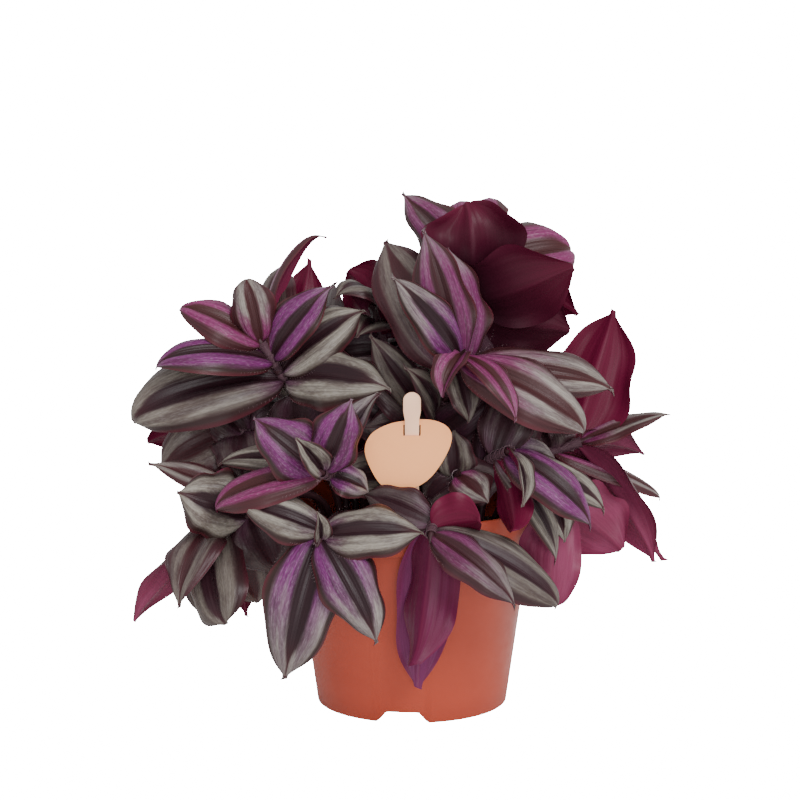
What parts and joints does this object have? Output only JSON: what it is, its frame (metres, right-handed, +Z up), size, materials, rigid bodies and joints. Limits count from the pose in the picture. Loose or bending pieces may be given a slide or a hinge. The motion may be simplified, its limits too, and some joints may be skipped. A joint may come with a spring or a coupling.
{
  "type": "potted plant",
  "caption": "Bushy houseplant with striped leaves in a tapered plastic nursery pot of soil, with a blank card label on a flat stick.",
  "frame": {"origin": "centre of the pot's foot, on the surface that it stands on", "axes": "+Z up the pot's axis, -Y towards the front that the label faces, +X to the right of a viewer in front"},
  "size_m": [0.2527, 0.2044, 0.2439],
  "materials": {
    "terracotta_plastic": "satin terracotta-coloured plastic",
    "dark_soil": "damp dark potting soil",
    "peach_card": "matt peach card",
    "pale_card": "matt pale card",
    "leaf": "striped purple and silver above, maroon below"
  },
  "bodies": {
    "root": {"nursery_pot": "terracotta_plastic", "potting_soil": "dark_soil", "label_card": "peach_card", "label_stick": "pale_card", "stem_front_star": "leaf", "stem_front_low": "leaf", "stem_front_mid": "leaf", "stem_front_inner": "leaf", "stem_centre_high": "leaf", "stem_top": "leaf", "stem_left_high": "leaf", "stem_right_low": "leaf", "stem_right_out": "leaf", "stem_right_under": "leaf", "stem_left_low": "leaf", "stem_left_under": "leaf", "stem_left_mid": "leaf", "stem_centre_back": "leaf", "stem_middle": "leaf", "stem_back_1": "leaf", "stem_back_2": "leaf", "stem_back_3": "leaf", "stem_back_4": "leaf", "stem_back_5": "leaf", "stem_back_6": "leaf", "stem_back_7": "leaf", "stem_back_8": "leaf", "stem_back_9": "leaf"}
  },
  "joints": []
}
